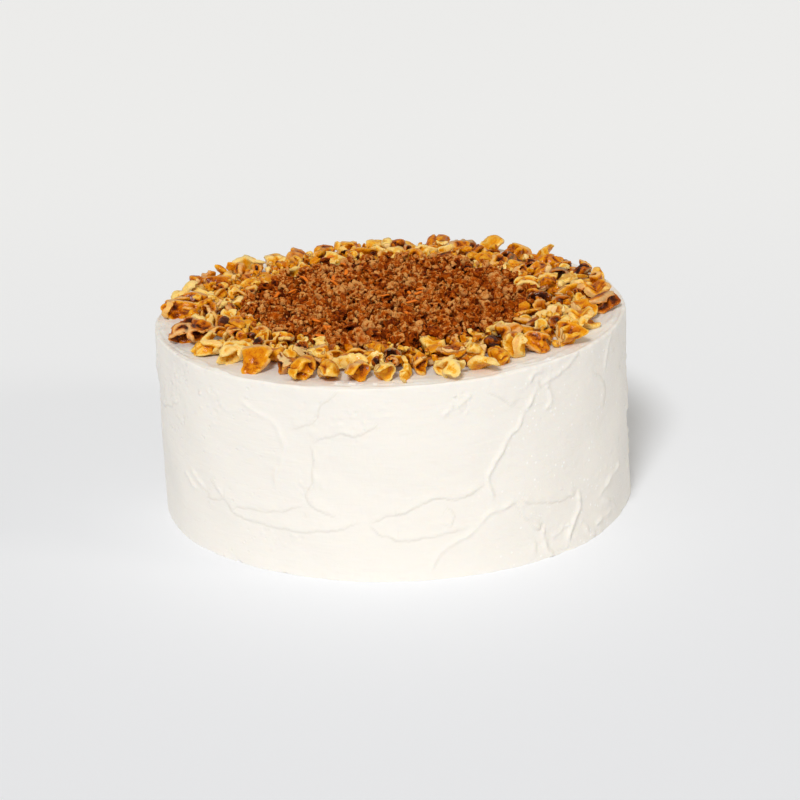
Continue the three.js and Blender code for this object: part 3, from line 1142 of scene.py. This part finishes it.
# At the far left and the far right they lie out to the very rim.
RIM_STRETCHES = [(132, 182, 16), (0, 40, 9)]  # in degrees round the top, and how many there
RIM_REACH = (87, 93.5)
RIM_RADII = (4.5, 7.5)
for first, last, count in RIM_STRETCHES:
    stretch = math.radians(first), math.radians(last)
    for _ in range(count):
        form = rng.choice(list(FORMS))
        shape = (1, rng.uniform(0.55, 0.9), rng.uniform(0.4, 0.65))
        points, quads, numbers = walnut_form(rng, form, rng.uniform(*RIM_RADII), CHUNK_CELLS, shape)
        points = points @ tumbled(rng, CHUNK_TILT).T
        points = drop(rng, points, RIM_REACH, tries=6, overlap=0.2, ceiling=10, angle_range=stretch)
        name = names[rng.choice(len(names), p=shares)]
        if points is not None:
            piles[name].add(points, quads, tone=rng.uniform(*WALNUT_KINDS[name][1]), **numbers)
for name, pile in piles.items():
    pile.finish(name, walnut, WALNUT_CREASE, "walnut_heap", "walnut")

# Small chips from the chopping lie in the gaps, and some further out on the frosting.
CHIPS = 170
CHIP_CELLS = 11
CHIP_RADII = (1.4, 3.2)
CHIP_TONES = (0.12, 0.7)
STRAY_EVERY = 8
chips = Pile()
for number in range(CHIPS):
    points, quads, numbers = walnut_form(rng, "chunk", rng.uniform(*CHIP_RADII), CHIP_CELLS)
    points = points @ tumbled(rng, 1.0).T
    outer = heap_outer + (4 if number % STRAY_EVERY else 12)
    points = drop(rng, points, (heap_inner, outer), tries=6, overlap=0.1, ceiling=7.5)
    if points is not None:
        chips.add(points, quads, tone=rng.uniform(*CHIP_TONES), **numbers)
chips.finish("walnut_chips", walnut, WALNUT_CREASE, "walnut_heap", "walnut")


# ---------------------------------------------------------------- loose crumbs
# Moist cake rubbed through the fingers: ragged clumps a few millimetres across and
# finer ones between them. Some have spilled out among the walnuts.

SMALLEST_CRUMB = 5  # in cells of its grid


def crumb_form(rng, cells):
    """Points, quads and bulge of one ragged crumb, about 1 in radius."""
    span = 1.4
    grid, step = cube_of_points(span, cells)
    stretch = rng.uniform(0.65, 1.1, 3)
    finest = 2 * np.pi / (3 * step)  # the grid can't hold finer waves
    big = [(random_heading(rng, 0.3 * finest, 0.5 * finest), rng.uniform(0, FULL_TURN)) for _ in range(5)]
    small = [(random_heading(rng, 0.7 * finest, finest), rng.uniform(0, FULL_TURN)) for _ in range(6)]
    lump = sum(np.sin(grid @ k + phase) for k, phase in big) / len(big)
    fine = sum(np.sin(grid @ k + phase) for k, phase in small) / len(small)
    ball = np.linalg.norm(grid / stretch, axis=-1) - 0.95
    field = closed(ball + 0.9 * lump + 0.8 * fine)
    if (field < 0).sum() < SMALLEST_CRUMB:
        return crumb_form(rng, cells)
    points, quads = surface_net(largest_part(field), -span, step)
    return points, quads, bulge_of(points, quads)


# name: how many, cells across the grid of one, and their radii
CRUMB_SIZES = {
    "crumb_clumps": (400, 13, (1.8, 3.6)),
    "crumb_bits": (420, 8, (0.9, 1.8)),
    "crumb_grains": (500, 6, (0.45, 0.9)),
}
CRUMB_FORMS = 60
CRUMB_CREASE = 50
SPILL = 3.5  # how far crumbs lie past the edge of their bed
CRUMB_BAND = 6  # how much of the way out is tried for each
USUAL_TONE, TONE_SPREAD = 0.49, 0.18
SPECKS = 0.015  # the share of them that are nearly black
DARK_SPECK = -0.5
rng = np.random.default_rng(9)
for name, (amount, cells, radii) in CRUMB_SIZES.items():
    forms = [crumb_form(rng, cells) for _ in range(CRUMB_FORMS)]
    pile = Pile()
    for _ in range(amount):
        points, quads, bulges = forms[rng.integers(CRUMB_FORMS)]
        points = (points * rng.uniform(*radii)) @ tumbled(rng, 1.5).T
        reach = (crumb_radius + SPILL) * math.sqrt(rng.uniform(0, 1))
        band = max(reach - CRUMB_BAND, 0), reach
        points = drop(rng, points, band, tries=4, overlap=0.25, ceiling=9.5)
        if points is not None:
            tone_here = DARK_SPECK if rng.random() < SPECKS else rng.normal(USUAL_TONE, TONE_SPREAD)
            pile.add(points, quads, tone=tone_here, bulge=bulges)
    pile.finish(name, crumb, CRUMB_CREASE, "crumb_heap", "crumb")


# ---------------------------------------------------------------- orange shreds
# Short grated strips from the batter, bright orange where they stick out of the
# crumbs.

SHREDS = 20
SHRED_STEPS = 7
SHRED_SIDES = 6
SHRED_WIDTH = (0.7, 1.15)  # half of it
SHRED_LENGTH = (2.6, 5.5)
DARK_ORANGE = (0.72, 0.12, 0.001)
BRIGHT_ORANGE = (0.92, 0.26, 0.002)

shred_finish = Finish("grated_shred", Roughness=0.45, Specular_IOR_Level=0.3)
fibre = shred_finish.noise(0.9, detail=3, rough=0.6)
shred_finish.set(
    Base_Color=shred_finish.mix(fibre, DARK_ORANGE, BRIGHT_ORANGE),
    Normal=shred_finish.bump(fibre, 0.3),
)


def shred_form(rng):
    """Points and quads of one limp strip, in millimetres, lying along x."""
    length, width = rng.uniform(*SHRED_LENGTH), rng.uniform(*SHRED_WIDTH)
    bow = rng.normal(0, 0.1) * length
    along = np.linspace(-0.5, 0.5, SHRED_STEPS)
    round_it = np.linspace(0, 2 * np.pi, SHRED_SIDES, endpoint=False)
    rings = []
    for place in along:
        half = width * (1 - (2 * place) ** 4 * 0.75) * rng.uniform(0.85, 1.1)
        middle = (place * length, bow * (1 - (2 * place) ** 2), 0.3 * math.sin(5 * place))
        rings.append(np.stack([
            np.full(SHRED_SIDES, 0.0), half * np.cos(round_it), 0.6 * half * np.sin(round_it),
        ], 1) + middle)
    points = np.vstack(rings)
    end = np.array([[0, 5, 4, 1], [1, 4, 3, 2]])  # two quads fill the six sides
    far_end = end + (SHRED_STEPS - 1) * SHRED_SIDES
    quads = np.vstack([grid_faces(SHRED_STEPS, SHRED_SIDES)[:, ::-1], end[:, ::-1], far_end])
    return points, quads


rng = np.random.default_rng(14)
shreds = Pile()
for _ in range(SHREDS):
    points, quads = shred_form(rng)
    points = points @ tumbled(rng, 0.35).T
    points = drop(rng, points, (4, crumb_radius), tries=1, overlap=0.15, ceiling=10)
    if points is not None:
        shreds.add(points, quads)
shreds.finish("orange_shreds", shred_finish, NO_CREASE, "crumb_heap", "crumb")
